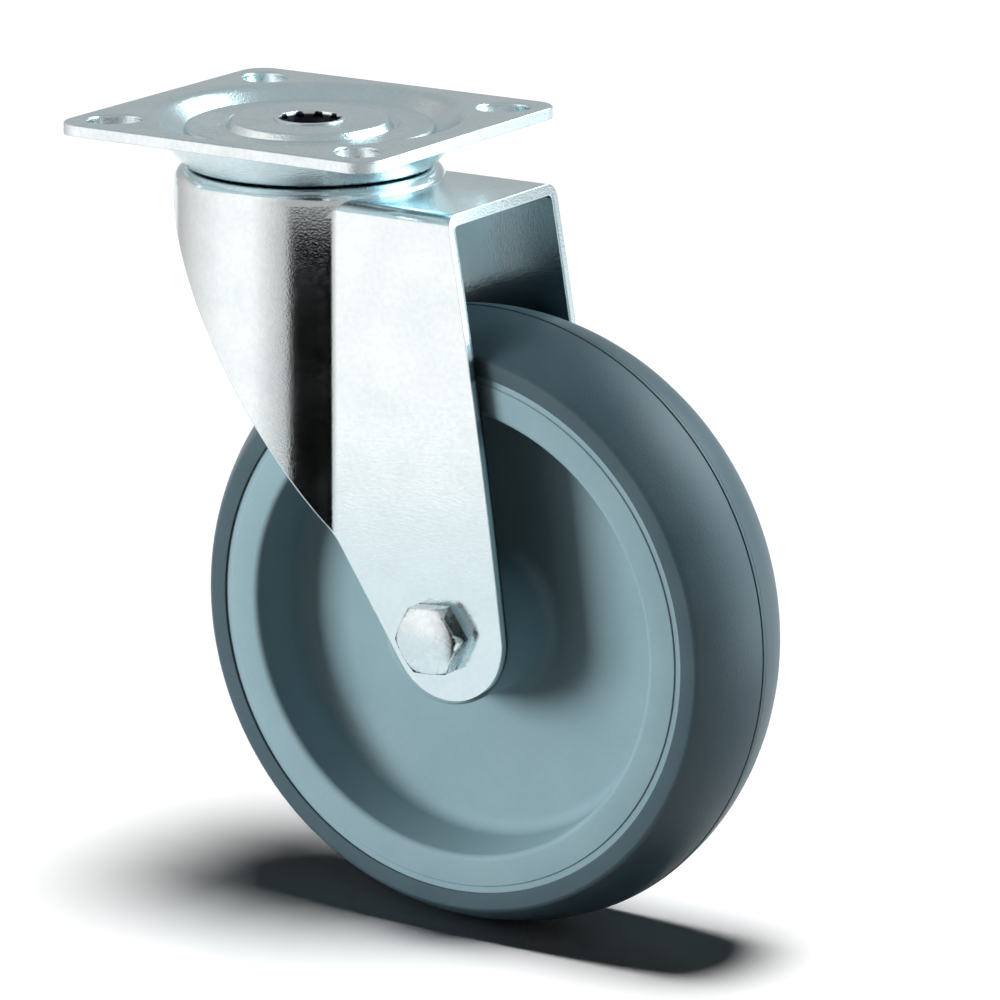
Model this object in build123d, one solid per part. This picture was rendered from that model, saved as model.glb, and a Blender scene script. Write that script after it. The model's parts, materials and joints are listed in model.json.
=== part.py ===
from build123d import *
from math import asin, atan2, cos, hypot, radians, sin, tan
import os

# A plate-mounted swivel castor, in millimetres.
# The origin is the centre of the top plate's upper face, which is also the swivel axis.
# +Z is up, the wheel trails towards +X, and the wheel's axle lies along Y.
# Left is the side of the axle bolt's head, at -Y.

# Driving dimensions: top plate
PLATE_X = 74.2
PLATE_Y = 70.1
PLATE_THICKNESS = 2.3
PLATE_CORNER_R = 5.5
PLATE_EDGE_R = 0.5
SLOT_INSET_X = 8.4
SLOT_INSET_Y = 9.25
SLOT_WIDTH = 8.6
SLOT_LENGTH = 10.8
SLOT_EDGE_R = 0.6
SLOT_DISH_GAP = 0.69

# Swivel balls
BALL_CLEARANCE = 0.06
UPPER_BALL_R = 3.175
UPPER_PITCH_R = 19.2
UPPER_BALLS = 18
LOWER_BALL_R = 2.38
LOWER_PITCH_R = 17.5
LOWER_BALLS = 21
PLATE_TRACK_DEPTH = 0.275
HEAD_TOP_TRACK_DEPTH = 0.375
HEAD_UNDER_TRACK_DEPTH = 0.23
CUP_TRACK_DEPTH = 0.43

# Pressed centre of the plate: steps from the upper balls' pitch circle and from the slots
TRACK_COVER_DROP = 2.0
COVER_STEP_IN = 1.2
GROOVE_STEP_IN = 2.0
GROOVE_FLOOR = 0.7
GROOVE_DROP = 0.7
CENTRE_DISC_STEP_IN = 3.6
CENTRE_DISC_DROP = 1.0
SKIRT_STEP_OUT = 3.4
SKIRT_HEAD_GAP = 0.35
DISH_DEPTH = 6.3
DISH_LIP = 1.6
DISH_LIP_FILL = 0.98
DISH_MOUTH_SHARE = 0.567
DISH_UNDER_STEP = 0.5
DISH_UNDER_SHARE = 0.367
COVER_BEND_R = 1.1
SKIRT_EDGE_R = 1.4
PRESSING_BEND_R = 0.5

# Kingpin, sleeve and race cup
PUSH_FIT = 0.02
KINGPIN_R = 6.6
KINGPIN_WALL = 0.9
KINGPIN_HOLE_DEPTH = 12.0
KINGPIN_LIP = 0.65
KINGPIN_LIP_HEIGHT = 0.25
KINGPIN_FLARE = 0.5
KINGPIN_FLARE_DEPTH = 3.0
KINGPIN_HEAD_STEP = 3.9
KINGPIN_HEAD_HEIGHT = 2.4
KINGPIN_HEAD_EDGE_R = 1.6
KINGPIN_NOTCHES = 10
KINGPIN_NOTCH_R = 1.15
KINGPIN_NOTCH_DEPTH = 2.1
SLEEVE_WALL = 2.9
CUP_WALL = 1.4
CUP_WALL_HEIGHT = 1.3
CUP_BALL_ROOM = 0.52
CUP_FLOOR = 2.5
CUP_BOSS_STEP = 1.5
CUP_BOSS_HEIGHT = 0.5
CUP_BEND_R = 1.6
CUP_EDGE_R = 0.4

# Fork, bent from one sheet
FORK_SHEET = 2.2
FORK_HEAD_CUP_GAP = 3.0
FORK_HEAD_RISE = 2.1
FORK_HEAD_SHOULDER_R = 3.0
FORK_CROWN_BEND_R = 3.2
FORK_NECK_BEND_R = 4.0
FORK_CENTRE_HOLE_R = 13.0
FORK_SKIRT_DEPTH = 6.0
FORK_FRONT_STEP = 4.5
FORK_TIP_R = 12.6
FORK_TIP_AHEAD = 2.4
FORK_REAR_AHEAD = 0.05
FORK_REAR_SAG = 0.92
FORK_REAR_TOUCH_ANGLE = 4.0
SPARE = 5.0

# Wheel
WHEEL_R = 62.5
WHEEL_HALF_WIDTH = 16.0
WHEEL_TOP_DROP = 33.5
WHEEL_LEG_GAP = 1.4
TREAD_CROWN_R = 24.0
TYRE_SHOULDER_WIDTH = 0.6
TYRE_SHOULDER_HEIGHT = 0.7
TYRE_DEPTH = 9.55
TYRE_KEY_DEPTH = 2.55
TYRE_KEY_HALF_WIDTH = 7.0
TYRE_KEY_TAPER = 0.8
RIM_INSET = 0.3
RIM_STEP = 0.3
RIM_STEP_WIDTH = 1.45
RIM_STEP_TAPER = 0.1
RIM_DEPTH = 7.55
RIM_WALL_TAPER = 1.4
RIM_EDGE_R = 1.2
WEB_HALF_THICKNESS = 2.0
WEB_FILLET_R = 3.0
HUB_R = 14.5
HUB_LEG_GAP = 0.8
HUB_EDGE_R = 0.8
HUB_FILLET_R = 3.5
SEAT_EDGE_R = 0.4

# Axle
AXLE_X = 42.5
BOLT_R = 4.0
BOLT_END = 2.8
BOLT_END_CHAMFER = 0.8
HEX_ACROSS_FLATS = 13.0
HEX_TURN = 5.0
HEX_FACE_SHARE = 0.94
HEX_CHAMFER_ANGLE = 30.0
BOLT_HEAD_HEIGHT = 4.3
WASHER_FACE_HEIGHT = 0.3
WASHER_FACE_STEP = 0.35
NUT_HEX_HEIGHT = 6.0
NUT_COLLAR_HEIGHT = 2.0
NUT_COLLAR_STEP = 0.5
NUT_COLLAR_WALL = 0.9
NUT_COLLAR_LIP = 0.2
NUT_COLLAR_EDGE_R = 0.8
INSERT_END_GAP = 0.1
AXLE_TUBE_R = 6.0
AXLE_HOLE_CLEARANCE = 0.15
RING_EDGE_R = 0.3

# Wheel bearings
BEARING_R = 12.0
BEARING_WIDTH = 6.0
BEARING_WALL = 1.8
BEARING_BALL_R = 1.5875
BEARING_BALLS = 10
CAGE_THICKNESS = 1.0
CAGE_WIDTH = 3.8
SHIELD_THICKNESS = 0.3
SHIELD_GAP = 0.25
SHIELD_INSET = 0.35
SPACER_STEP = 0.2
COLLAR_LENGTH = 1.2
COLLAR_STEP = 0.6
COLLAR_EDGE_R = 0.2

# Heights worked out from the plate's face down
COVER_Z = -TRACK_COVER_DROP
COVER_UNDER_Z = COVER_Z - PLATE_THICKNESS
CENTRE_DISC_Z = -CENTRE_DISC_DROP
CENTRE_UNDER_Z = CENTRE_DISC_Z - PLATE_THICKNESS
UPPER_ROW_Z = COVER_UNDER_Z + PLATE_TRACK_DEPTH - UPPER_BALL_R
HEAD_TOP_Z = UPPER_ROW_Z - UPPER_BALL_R + HEAD_TOP_TRACK_DEPTH
SKIRT_BOTTOM_Z = HEAD_TOP_Z + SKIRT_HEAD_GAP
CROWN_Z = HEAD_TOP_Z - FORK_HEAD_RISE
FORK_SKIRT_Z = HEAD_TOP_Z - FORK_SKIRT_DEPTH
LOWER_ROW_Z = HEAD_TOP_Z - FORK_SHEET + HEAD_UNDER_TRACK_DEPTH - LOWER_BALL_R
CUP_FLOOR_Z = LOWER_ROW_Z - LOWER_BALL_R + CUP_TRACK_DEPTH
CUP_BOSS_Z = CUP_FLOOR_Z + CUP_BOSS_HEIGHT
CUP_BOTTOM_Z = CUP_FLOOR_Z - CUP_FLOOR
AXLE_Z = -WHEEL_TOP_DROP - WHEEL_R

# Radii and widths worked out from the ones above
SLOT_SPACING_X = PLATE_X - 2 * SLOT_INSET_X
SLOT_SPACING_Y = PLATE_Y - 2 * SLOT_INSET_Y
UPPER_TRACK_R = UPPER_BALL_R + BALL_CLEARANCE
LOWER_TRACK_R = LOWER_BALL_R + BALL_CLEARANCE
SKIRT_INNER_R = UPPER_PITCH_R + SKIRT_STEP_OUT
DISH_FOOT_R = SKIRT_INNER_R + PLATE_THICKNESS
PRESSING_R = hypot(SLOT_SPACING_X, SLOT_SPACING_Y) / 2 - SLOT_LENGTH / 2 - SLOT_DISH_GAP
DISH_TOP_R = PRESSING_R - DISH_LIP
DISH_RUN = DISH_TOP_R - DISH_FOOT_R
DISH_MOUTH_R = DISH_RUN * DISH_MOUTH_SHARE
DISH_UNDER_R = DISH_RUN * DISH_UNDER_SHARE
CENTRE_DISC_R = UPPER_PITCH_R - CENTRE_DISC_STEP_IN
KINGPIN_BORE_R = KINGPIN_R - KINGPIN_WALL
PIN_FIT_R = KINGPIN_R + PUSH_FIT
SLEEVE_R = PIN_FIT_R + SLEEVE_WALL
CUP_WALL_R = LOWER_PITCH_R + LOWER_BALL_R + CUP_BALL_ROOM
FORK_HEAD_R = CUP_WALL_R + CUP_WALL + FORK_HEAD_CUP_GAP + FORK_SHEET
FORK_INNER_Y = WHEEL_HALF_WIDTH + WHEEL_LEG_GAP
FORK_HALF_WIDTH = FORK_INNER_Y + FORK_SHEET
TUBE_FIT_R = AXLE_TUBE_R + PUSH_FIT
BEARING_PITCH_R = (AXLE_TUBE_R + BEARING_R) / 2
INNER_RING_R = AXLE_TUBE_R + BEARING_WALL
OUTER_RING_BORE_R = BEARING_R - BEARING_WALL
BEARING_OUTER_Y = FORK_INNER_Y - COLLAR_LENGTH
BEARING_INNER_Y = BEARING_OUTER_Y - BEARING_WIDTH
BEARING_CENTRE_Y = (BEARING_OUTER_Y + BEARING_INNER_Y) / 2
NUT_HEIGHT = NUT_HEX_HEIGHT + NUT_COLLAR_HEIGHT
NUT_COLLAR_R = HEX_ACROSS_FLATS / 2 - NUT_COLLAR_STEP
INSERT_R = NUT_COLLAR_R - NUT_COLLAR_WALL
INSERT_SEAT = NUT_COLLAR_HEIGHT - NUT_COLLAR_LIP
BOLT_LENGTH = 2 * FORK_HALF_WIDTH + NUT_HEIGHT + BOLT_END
RIM_R = WHEEL_R - TYRE_DEPTH
TYRE_KEY_R = RIM_R - TYRE_KEY_DEPTH
SIDES = {"left": -1, "right": 1}


def outline(*corners):
    """A closed flat face from (x, y, corner radius) points."""
    points = [(x, y) for x, y, radius in corners]
    radii = [radius for x, y, radius in corners]
    return make_face(FilletPolyline(*points, radius=radii, close=True))


def turned(*corners):
    """A solid turned about Z from (radius, height, corner radius) points."""
    return revolve(Plane.XZ * outline(*corners), Axis.Z)


def turned_ring(bore_r, outer_r, low, high, edge_r):
    """A plain ring about Z between two heights."""
    return turned(
        (bore_r, low, edge_r),
        (outer_r, low, edge_r),
        (outer_r, high, edge_r),
        (bore_r, high, edge_r),
    )


def on_axle(shape):
    """Moves a shape built along Z onto the wheel's axle, its +Z end towards +Y."""
    return Pos(AXLE_X, 0, AXLE_Z) * Rot(-90, 0, 0) * shape


def ring_of_balls(count, pitch_r, height, ball_r):
    """Separate balls, evenly spaced round Z."""
    spots = PolarLocations(pitch_r, count)
    return Compound(children=[Pos(0, 0, height) * spot * Sphere(ball_r) for spot in spots])


def track(pitch_r, height, track_r):
    """The round groove that a ball row runs in."""
    return Pos(0, 0, height) * Torus(pitch_r, track_r)


def hexagon(height):
    """A hexagonal bar whose upper end has its points turned off at a slant."""
    corner_r = HEX_ACROSS_FLATS / 2 / cos(radians(30))
    face_r = HEX_ACROSS_FLATS / 2 * HEX_FACE_SHARE
    cone_r = corner_r + SPARE
    drop = (cone_r - face_r) * tan(radians(HEX_CHAMFER_ANGLE))
    bar = extrude(RegularPolygon(corner_r, 6, rotation=HEX_TURN), height)
    cone = turned(
        (0, height - drop - SPARE, 0),
        (cone_r, height - drop - SPARE, 0),
        (cone_r, height - drop, 0),
        (face_r, height, 0),
        (0, height, 0),
    )
    return bar & cone


# Top plate

def plate_blank():
    """The flat sheet with rounded corners and its four slots, which point at the centre."""
    sheet = extrude(RectangleRounded(PLATE_X, PLATE_Y, PLATE_CORNER_R), -PLATE_THICKNESS)
    rim_edges = sheet.faces().sort_by(Axis.Z)[-1].edges()
    sheet = fillet(rim_edges, PLATE_EDGE_R)
    slot_angle = Vector(SLOT_SPACING_X, SLOT_SPACING_Y).get_angle(Vector(1, 0))
    for side_x in (-1, 1):
        for side_y in (-1, 1):
            centre = Pos(side_x * SLOT_SPACING_X / 2, side_y * SLOT_SPACING_Y / 2)
            turn = Rot(0, 0, side_x * side_y * slot_angle)
            slot = centre * turn * SlotOverall(SLOT_LENGTH, SLOT_WIDTH)
            sheet -= extrude(slot, -PLATE_THICKNESS)
    mouths = [
        edge
        for wire in sheet.faces().sort_by(Axis.Z)[-1].inner_wires()
        for edge in wire.edges()
    ]
    return fillet(mouths, SLOT_EDGE_R)


def plate_pressing():
    """The dished centre: a sloping skirt, the raised cover over the ball track, a flat disc."""
    groove_r = UPPER_PITCH_R - GROOVE_STEP_IN
    groove_z = COVER_Z - GROOVE_DROP
    slope = atan2(DISH_DEPTH, DISH_RUN)
    under_slope = atan2(-PLATE_THICKNESS - SKIRT_BOTTOM_Z, DISH_RUN + DISH_UNDER_STEP)
    # Neither bend at the dish's mouth may run past the flat lip outside it
    mouth_r = min(DISH_MOUTH_R, DISH_LIP_FILL * DISH_LIP / tan(slope / 2))
    under_r = min(DISH_UNDER_R, DISH_LIP_FILL * (DISH_LIP - DISH_UNDER_STEP) / tan(under_slope / 2))
    return turned(
        (PRESSING_R, 0, 0),
        (DISH_TOP_R, 0, mouth_r),
        (DISH_FOOT_R, -DISH_DEPTH, PRESSING_BEND_R),
        (DISH_FOOT_R, COVER_Z, COVER_BEND_R),
        (UPPER_PITCH_R - COVER_STEP_IN, COVER_Z, PRESSING_BEND_R),
        (groove_r, groove_z, PRESSING_BEND_R / 2),
        (groove_r - GROOVE_FLOOR, groove_z, PRESSING_BEND_R / 2),
        (CENTRE_DISC_R, CENTRE_DISC_Z, PRESSING_BEND_R),
        (PIN_FIT_R, CENTRE_DISC_Z, 0),
        (PIN_FIT_R, CENTRE_UNDER_Z, 0),
        (CENTRE_DISC_R - PLATE_THICKNESS / 2, CENTRE_UNDER_Z, PRESSING_BEND_R),
        (CENTRE_DISC_R, COVER_UNDER_Z, PRESSING_BEND_R),
        (SKIRT_INNER_R, COVER_UNDER_Z, PRESSING_BEND_R),
        (SKIRT_INNER_R, SKIRT_BOTTOM_Z, PRESSING_BEND_R),
        (DISH_FOOT_R, SKIRT_BOTTOM_Z, SKIRT_EDGE_R),
        (DISH_TOP_R + DISH_UNDER_STEP, -PLATE_THICKNESS, under_r),
        (PRESSING_R, -PLATE_THICKNESS, 0),
    )


def top_plate():
    """One pressed sheet: flat rim, slots, dished centre with the upper ball track under it."""
    centre_hole = Cylinder(PRESSING_R, 3 * PLATE_THICKNESS)
    rim = plate_blank() - centre_hole
    return rim + plate_pressing() - track(UPPER_PITCH_R, UPPER_ROW_Z, UPPER_TRACK_R)


# Swivel head

def kingpin():
    """Hollow rivet: a head below, a shank through the head, a notched lip over the plate."""
    head_r = KINGPIN_R + KINGPIN_HEAD_STEP
    head_z = CUP_BOTTOM_Z - KINGPIN_HEAD_HEIGHT
    lip_r = KINGPIN_R + KINGPIN_LIP
    lip_z = CENTRE_DISC_Z + KINGPIN_LIP_HEIGHT
    lip_edge_r = KINGPIN_LIP_HEIGHT * 0.8
    pin = turned(
        (0, head_z, 0),
        (head_r, head_z, KINGPIN_HEAD_EDGE_R),
        (head_r, CUP_BOTTOM_Z, 0),
        (KINGPIN_R, CUP_BOTTOM_Z, 0),
        (KINGPIN_R, CENTRE_DISC_Z, 0),
        (lip_r, CENTRE_DISC_Z, 0),
        (lip_r, lip_z, lip_edge_r),
        (KINGPIN_BORE_R + KINGPIN_FLARE, lip_z, lip_edge_r),
        (KINGPIN_BORE_R, -KINGPIN_FLARE_DEPTH, KINGPIN_FLARE),
        (KINGPIN_BORE_R, -KINGPIN_HOLE_DEPTH, KINGPIN_HEAD_EDGE_R),
        (0, -KINGPIN_HOLE_DEPTH, 0),
    )
    notch = Pos(0, 0, -KINGPIN_NOTCH_DEPTH / 2) * Cylinder(KINGPIN_NOTCH_R, KINGPIN_NOTCH_DEPTH)
    for spot in PolarLocations(KINGPIN_BORE_R - KINGPIN_WALL / 2, KINGPIN_NOTCHES):
        pin -= spot * notch
    return pin


def spacer_sleeve():
    """Round the kingpin: it sets how far the race cup is from the plate."""
    return turned_ring(PIN_FIT_R, SLEEVE_R, CUP_BOSS_Z, CENTRE_UNDER_Z, 0)


def lower_race_cup():
    """Carries the lower ball row, with a low wall outside it that keeps grit out."""
    boss_r = SLEEVE_R + CUP_BOSS_STEP
    wall_z = CUP_FLOOR_Z + CUP_WALL_HEIGHT
    cup = turned(
        (PIN_FIT_R, CUP_BOTTOM_Z, 0),
        (CUP_WALL_R + CUP_WALL, CUP_BOTTOM_Z, CUP_BEND_R),
        (CUP_WALL_R + CUP_WALL, wall_z, CUP_EDGE_R),
        (CUP_WALL_R, wall_z, CUP_EDGE_R),
        (CUP_WALL_R, CUP_FLOOR_Z, CUP_EDGE_R),
        (boss_r + 2 * CUP_BOSS_HEIGHT, CUP_FLOOR_Z, CUP_EDGE_R),
        (boss_r, CUP_BOSS_Z, CUP_EDGE_R),
        (PIN_FIT_R, CUP_BOSS_Z, 0),
    )
    return cup - track(LOWER_PITCH_R, LOWER_ROW_Z, LOWER_TRACK_R)


# Fork

def fork_block(inset):
    """The fork's form as a solid block, inset by a distance: a round head, a straight neck."""
    bottom_z = AXLE_Z - FORK_TIP_R - SPARE
    rear_x = AXLE_X + FORK_TIP_AHEAD + FORK_TIP_R + SPARE
    head_r = FORK_HEAD_R - inset
    half_width = FORK_HALF_WIDTH - inset
    head = turned(
        (0, bottom_z, 0),
        (head_r, bottom_z, 0),
        (head_r, HEAD_TOP_Z - inset, FORK_HEAD_SHOULDER_R - inset),
        (0, HEAD_TOP_Z - inset, 0),
    )
    plan = Circle(head_r) + Pos(rear_x / 2, 0) * Rectangle(rear_x, 2 * half_width)
    corner_x = (head_r**2 - half_width**2) ** 0.5
    corners = [v for v in plan.vertices() if abs(v.X - corner_x) < 0.1]
    plan = fillet(corners, FORK_NECK_BEND_R + inset)
    neck = Pos(0, 0, bottom_z) * extrude(plan, CROWN_Z - inset - bottom_z)
    bend = [
        edge
        for edge in neck.faces().sort_by(Axis.Z)[-1].edges()
        if abs(edge.center().X - rear_x) > 0.1
    ]
    return head + fillet(bend, FORK_CROWN_BEND_R - inset)


def fork_side_view():
    """What is left of the sheet seen from the side, in X and Z: head, legs and round tips."""
    tip = Vector(AXLE_X + FORK_TIP_AHEAD, AXLE_Z)
    skirt = Vector(FORK_FRONT_STEP - FORK_HEAD_R, FORK_SKIRT_Z)
    to_tip = tip - skirt
    front_angle = atan2(to_tip.Y, to_tip.X) - asin(FORK_TIP_R / to_tip.length)
    touch = tip + Vector(sin(front_angle), -cos(front_angle)) * FORK_TIP_R
    rear_angle = radians(FORK_REAR_TOUCH_ANGLE)
    tip_rear = tip + Vector(cos(rear_angle), sin(rear_angle)) * FORK_TIP_R
    rear_top = Vector(AXLE_X + FORK_REAR_AHEAD, 0)
    rear = rear_top - tip_rear
    bulge = Vector(rear.Y, -rear.X).normalized() * FORK_REAR_SAG
    front_x = -FORK_HEAD_R - SPARE
    edges = [
        Line(touch, skirt),
        ThreePointArc(touch, tip - Vector(0, FORK_TIP_R), tip_rear),
        ThreePointArc(tip_rear, (tip_rear + rear_top) / 2 + bulge, rear_top),
        Polyline(rear_top, (front_x, 0), (front_x, FORK_SKIRT_Z), skirt),
    ]
    return Plane.XZ * make_face(edges)


def fork():
    """One sheet: raised round head, flat crown, two parallel legs with round tips."""
    sheet = fork_block(0) - fork_block(FORK_SHEET)
    sheet &= extrude(fork_side_view(), FORK_HEAD_R + SPARE, both=True)
    sheet -= Pos(0, 0, HEAD_TOP_Z) * Cylinder(FORK_CENTRE_HOLE_R, 3 * FORK_SHEET)
    sheet -= track(UPPER_PITCH_R, UPPER_ROW_Z, UPPER_TRACK_R)
    sheet -= track(LOWER_PITCH_R, LOWER_ROW_Z, LOWER_TRACK_R)
    axle_hole = Cylinder(BOLT_R + AXLE_HOLE_CLEARANCE, 3 * FORK_HALF_WIDTH)
    return sheet - on_axle(axle_hole)


# Axle

def axle_bolt():
    """Hexagon bolt whose head rests on the left leg with a thin turned face."""
    shank = Pos(0, 0, BOLT_LENGTH / 2) * Cylinder(BOLT_R, BOLT_LENGTH)
    shank = chamfer(shank.faces().sort_by(Axis.Z)[-1].edges(), BOLT_END_CHAMFER)
    face_r = HEX_ACROSS_FLATS / 2 - WASHER_FACE_STEP
    head = turned_ring(0, face_r, 0, 2 * WASHER_FACE_HEIGHT, 0)
    head += Pos(0, 0, WASHER_FACE_HEIGHT) * hexagon(BOLT_HEAD_HEIGHT - WASHER_FACE_HEIGHT)
    return on_axle(Pos(0, 0, -FORK_HALF_WIDTH) * (shank + Rot(180, 0, 0) * head))


def axle_nut():
    """Lock nut against the right leg: a hexagon with a round collar for its insert."""
    nut = hexagon(NUT_HEX_HEIGHT)
    nut += turned(
        (0, 0, 0),
        (NUT_COLLAR_R, 0, 0),
        (NUT_COLLAR_R, NUT_HEIGHT, NUT_COLLAR_EDGE_R),
        (0, NUT_HEIGHT, 0),
    )
    nut -= Cylinder(BOLT_R + PUSH_FIT, 3 * NUT_HEIGHT)
    nut -= Pos(0, 0, NUT_HEX_HEIGHT + INSERT_SEAT / 2) * Cylinder(INSERT_R, INSERT_SEAT)
    return on_axle(Pos(0, 0, FORK_HALF_WIDTH) * nut)


def nut_insert():
    """The ring in the nut's collar that grips the thread."""
    height = INSERT_SEAT - INSERT_END_GAP
    ring = turned_ring(BOLT_R + PUSH_FIT, INSERT_R - PUSH_FIT, 0, height, 0)
    return on_axle(Pos(0, 0, FORK_HALF_WIDTH + NUT_HEX_HEIGHT) * ring)


def axle_tube():
    """Sleeve round the bolt, clamped between the legs, that carries the bearings."""
    bore_r = BOLT_R + AXLE_HOLE_CLEARANCE
    return on_axle(turned_ring(bore_r, AXLE_TUBE_R, -FORK_INNER_Y, FORK_INNER_Y, RING_EDGE_R))


def bearing_spacer():
    """Keeps the two inner rings apart."""
    outer_r = INNER_RING_R - SPACER_STEP
    return on_axle(
        turned_ring(TUBE_FIT_R, outer_r, -BEARING_INNER_Y, BEARING_INNER_Y, RING_EDGE_R)
    )


def collar(side):
    """Fills the space between an inner ring and its leg."""
    low, high = sorted((side * BEARING_OUTER_Y, side * FORK_INNER_Y))
    return on_axle(
        turned_ring(TUBE_FIT_R, INNER_RING_R + COLLAR_STEP, low, high, COLLAR_EDGE_R)
    )


# Wheel bearings

def bearing_part(side, shape):
    """Moves a bearing part, built about its own middle, to its side of the wheel."""
    return on_axle(Pos(0, 0, side * BEARING_CENTRE_Y) * shape)


def bearing_ring(bore_r, outer_r):
    """An inner or outer ring with the ball groove."""
    half = BEARING_WIDTH / 2
    ring = turned_ring(bore_r, outer_r, -half, half, RING_EDGE_R)
    return ring - Torus(BEARING_PITCH_R, BEARING_BALL_R + BALL_CLEARANCE)


def ball_cage():
    """Thin ring at mid-height that holds the balls apart."""
    inner_r = BEARING_PITCH_R - CAGE_THICKNESS / 2
    cage = turned_ring(inner_r, inner_r + CAGE_THICKNESS, -CAGE_WIDTH / 2, CAGE_WIDTH / 2, 0)
    window = Rot(0, 90, 0) * Cylinder(BEARING_BALL_R + BALL_CLEARANCE, 3 * CAGE_THICKNESS)
    for spot in PolarLocations(BEARING_PITCH_R, BEARING_BALLS):
        cage -= spot * window
    return cage


def shields():
    """The two sheet covers that close a bearing."""
    half = BEARING_WIDTH / 2 - SHIELD_INSET
    inner_r = INNER_RING_R + SHIELD_GAP
    covers = []
    for low in (-half, half - SHIELD_THICKNESS):
        covers.append(turned_ring(inner_r, OUTER_RING_BORE_R, low, low + SHIELD_THICKNESS, 0))
    return covers


# Wheel

def wheel_core():
    """Moulded centre: rim with a keyed seat for the tyre, thin web, hub with bearing seats."""
    hub_y = FORK_INNER_Y - HUB_LEG_GAP
    rim_y = WHEEL_HALF_WIDTH - RIM_INSET
    rim_inner_r = RIM_R - RIM_DEPTH
    step_r = RIM_R - RIM_STEP_WIDTH
    corners = []
    for side in (-1, 1):
        edge = [
            (BEARING_R, side * BEARING_INNER_Y, 0),
            (BEARING_R, side * hub_y, SEAT_EDGE_R),
            (HUB_R, side * hub_y, HUB_EDGE_R),
            (HUB_R, side * WEB_HALF_THICKNESS, HUB_FILLET_R),
            (rim_inner_r - RIM_WALL_TAPER, side * WEB_HALF_THICKNESS, WEB_FILLET_R),
            (rim_inner_r, side * rim_y, RIM_EDGE_R),
            (step_r, side * rim_y, 0),
            (step_r + RIM_STEP_TAPER, side * (rim_y - RIM_STEP), 0),
            (RIM_R, side * (rim_y - RIM_STEP), 0),
            (RIM_R, side * TYRE_KEY_HALF_WIDTH, 0),
            (TYRE_KEY_R, side * (TYRE_KEY_HALF_WIDTH - TYRE_KEY_TAPER), 0),
        ]
        corners += edge if side < 0 else edge[::-1]
    core = turned(*corners)
    return on_axle(core - Cylinder(OUTER_RING_BORE_R + SPACER_STEP, 3 * hub_y))


def tyre():
    """Rubber ring with a crowned tread, moulded onto the rim."""
    shoulder_y = WHEEL_HALF_WIDTH - TYRE_SHOULDER_WIDTH
    crown_drop = TREAD_CROWN_R - (TREAD_CROWN_R**2 - shoulder_y**2) ** 0.5
    shoulder_r = WHEEL_R - crown_drop
    side_r = shoulder_r - TYRE_SHOULDER_HEIGHT
    tread = ThreePointArc((shoulder_r, -shoulder_y), (WHEEL_R, 0), (shoulder_r, shoulder_y))
    inside = Polyline(
        (shoulder_r, shoulder_y),
        (side_r, WHEEL_HALF_WIDTH),
        (RIM_R, WHEEL_HALF_WIDTH),
        (RIM_R, TYRE_KEY_HALF_WIDTH),
        (TYRE_KEY_R, TYRE_KEY_HALF_WIDTH - TYRE_KEY_TAPER),
        (TYRE_KEY_R, TYRE_KEY_TAPER - TYRE_KEY_HALF_WIDTH),
        (RIM_R, -TYRE_KEY_HALF_WIDTH),
        (RIM_R, -WHEEL_HALF_WIDTH),
        (side_r, -WHEEL_HALF_WIDTH),
        (shoulder_r, -shoulder_y),
    )
    return on_axle(revolve(Plane.XZ * make_face([tread, inside]), Axis.Z))


def build_parts():
    """Every piece by its node's name."""
    parts = {
        "top_plate": top_plate(),
        "kingpin": kingpin(),
        "spacer_sleeve": spacer_sleeve(),
        "lower_race_cup": lower_race_cup(),
        "upper_balls": ring_of_balls(UPPER_BALLS, UPPER_PITCH_R, UPPER_ROW_Z, UPPER_BALL_R),
        "lower_balls": ring_of_balls(LOWER_BALLS, LOWER_PITCH_R, LOWER_ROW_Z, LOWER_BALL_R),
        "fork": fork(),
        "axle_bolt": axle_bolt(),
        "axle_nut": axle_nut(),
        "nut_insert": nut_insert(),
        "axle_tube": axle_tube(),
        "bearing_spacer": bearing_spacer(),
        "wheel_core": wheel_core(),
        "tyre": tyre(),
    }
    for name, side in SIDES.items():
        parts[f"{name}_collar"] = collar(side)
        inner_ring = bearing_ring(TUBE_FIT_R, INNER_RING_R)
        parts[f"{name}_inner_ring"] = bearing_part(side, inner_ring)
        outer_ring = bearing_ring(OUTER_RING_BORE_R, BEARING_R)
        parts[f"{name}_outer_ring"] = bearing_part(side, outer_ring)
        balls = ring_of_balls(BEARING_BALLS, BEARING_PITCH_R, 0, BEARING_BALL_R)
        parts[f"{name}_bearing_balls"] = bearing_part(side, balls)
        parts[f"{name}_ball_cage"] = bearing_part(side, ball_cage())
        covers = [bearing_part(side, cover) for cover in shields()]
        parts[f"{name}_shields"] = Compound(children=covers)
    return parts


os.makedirs("parts", exist_ok=True)
for node, shape in build_parts().items():
    export_step(shape, f"parts/{node}.step")
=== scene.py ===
# %% [markdown]
# # A swivel castor in pressed steel, with a moulded wheel
# The castor hangs from a pressed top plate. Two rows of balls let the fork swivel under it, and a
# bolt carries the wheel between the fork's legs. The engineering model comes in first as a fixed
# frame, and everything here is dressed round it: finishes on its parts, finer shapes in place of
# the wheel and the bolt, and the floor, lights and camera of a plain studio.

# %% Open the frame
import json
import math

import bmesh
import bpy
from mathutils import Matrix, Vector


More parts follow.
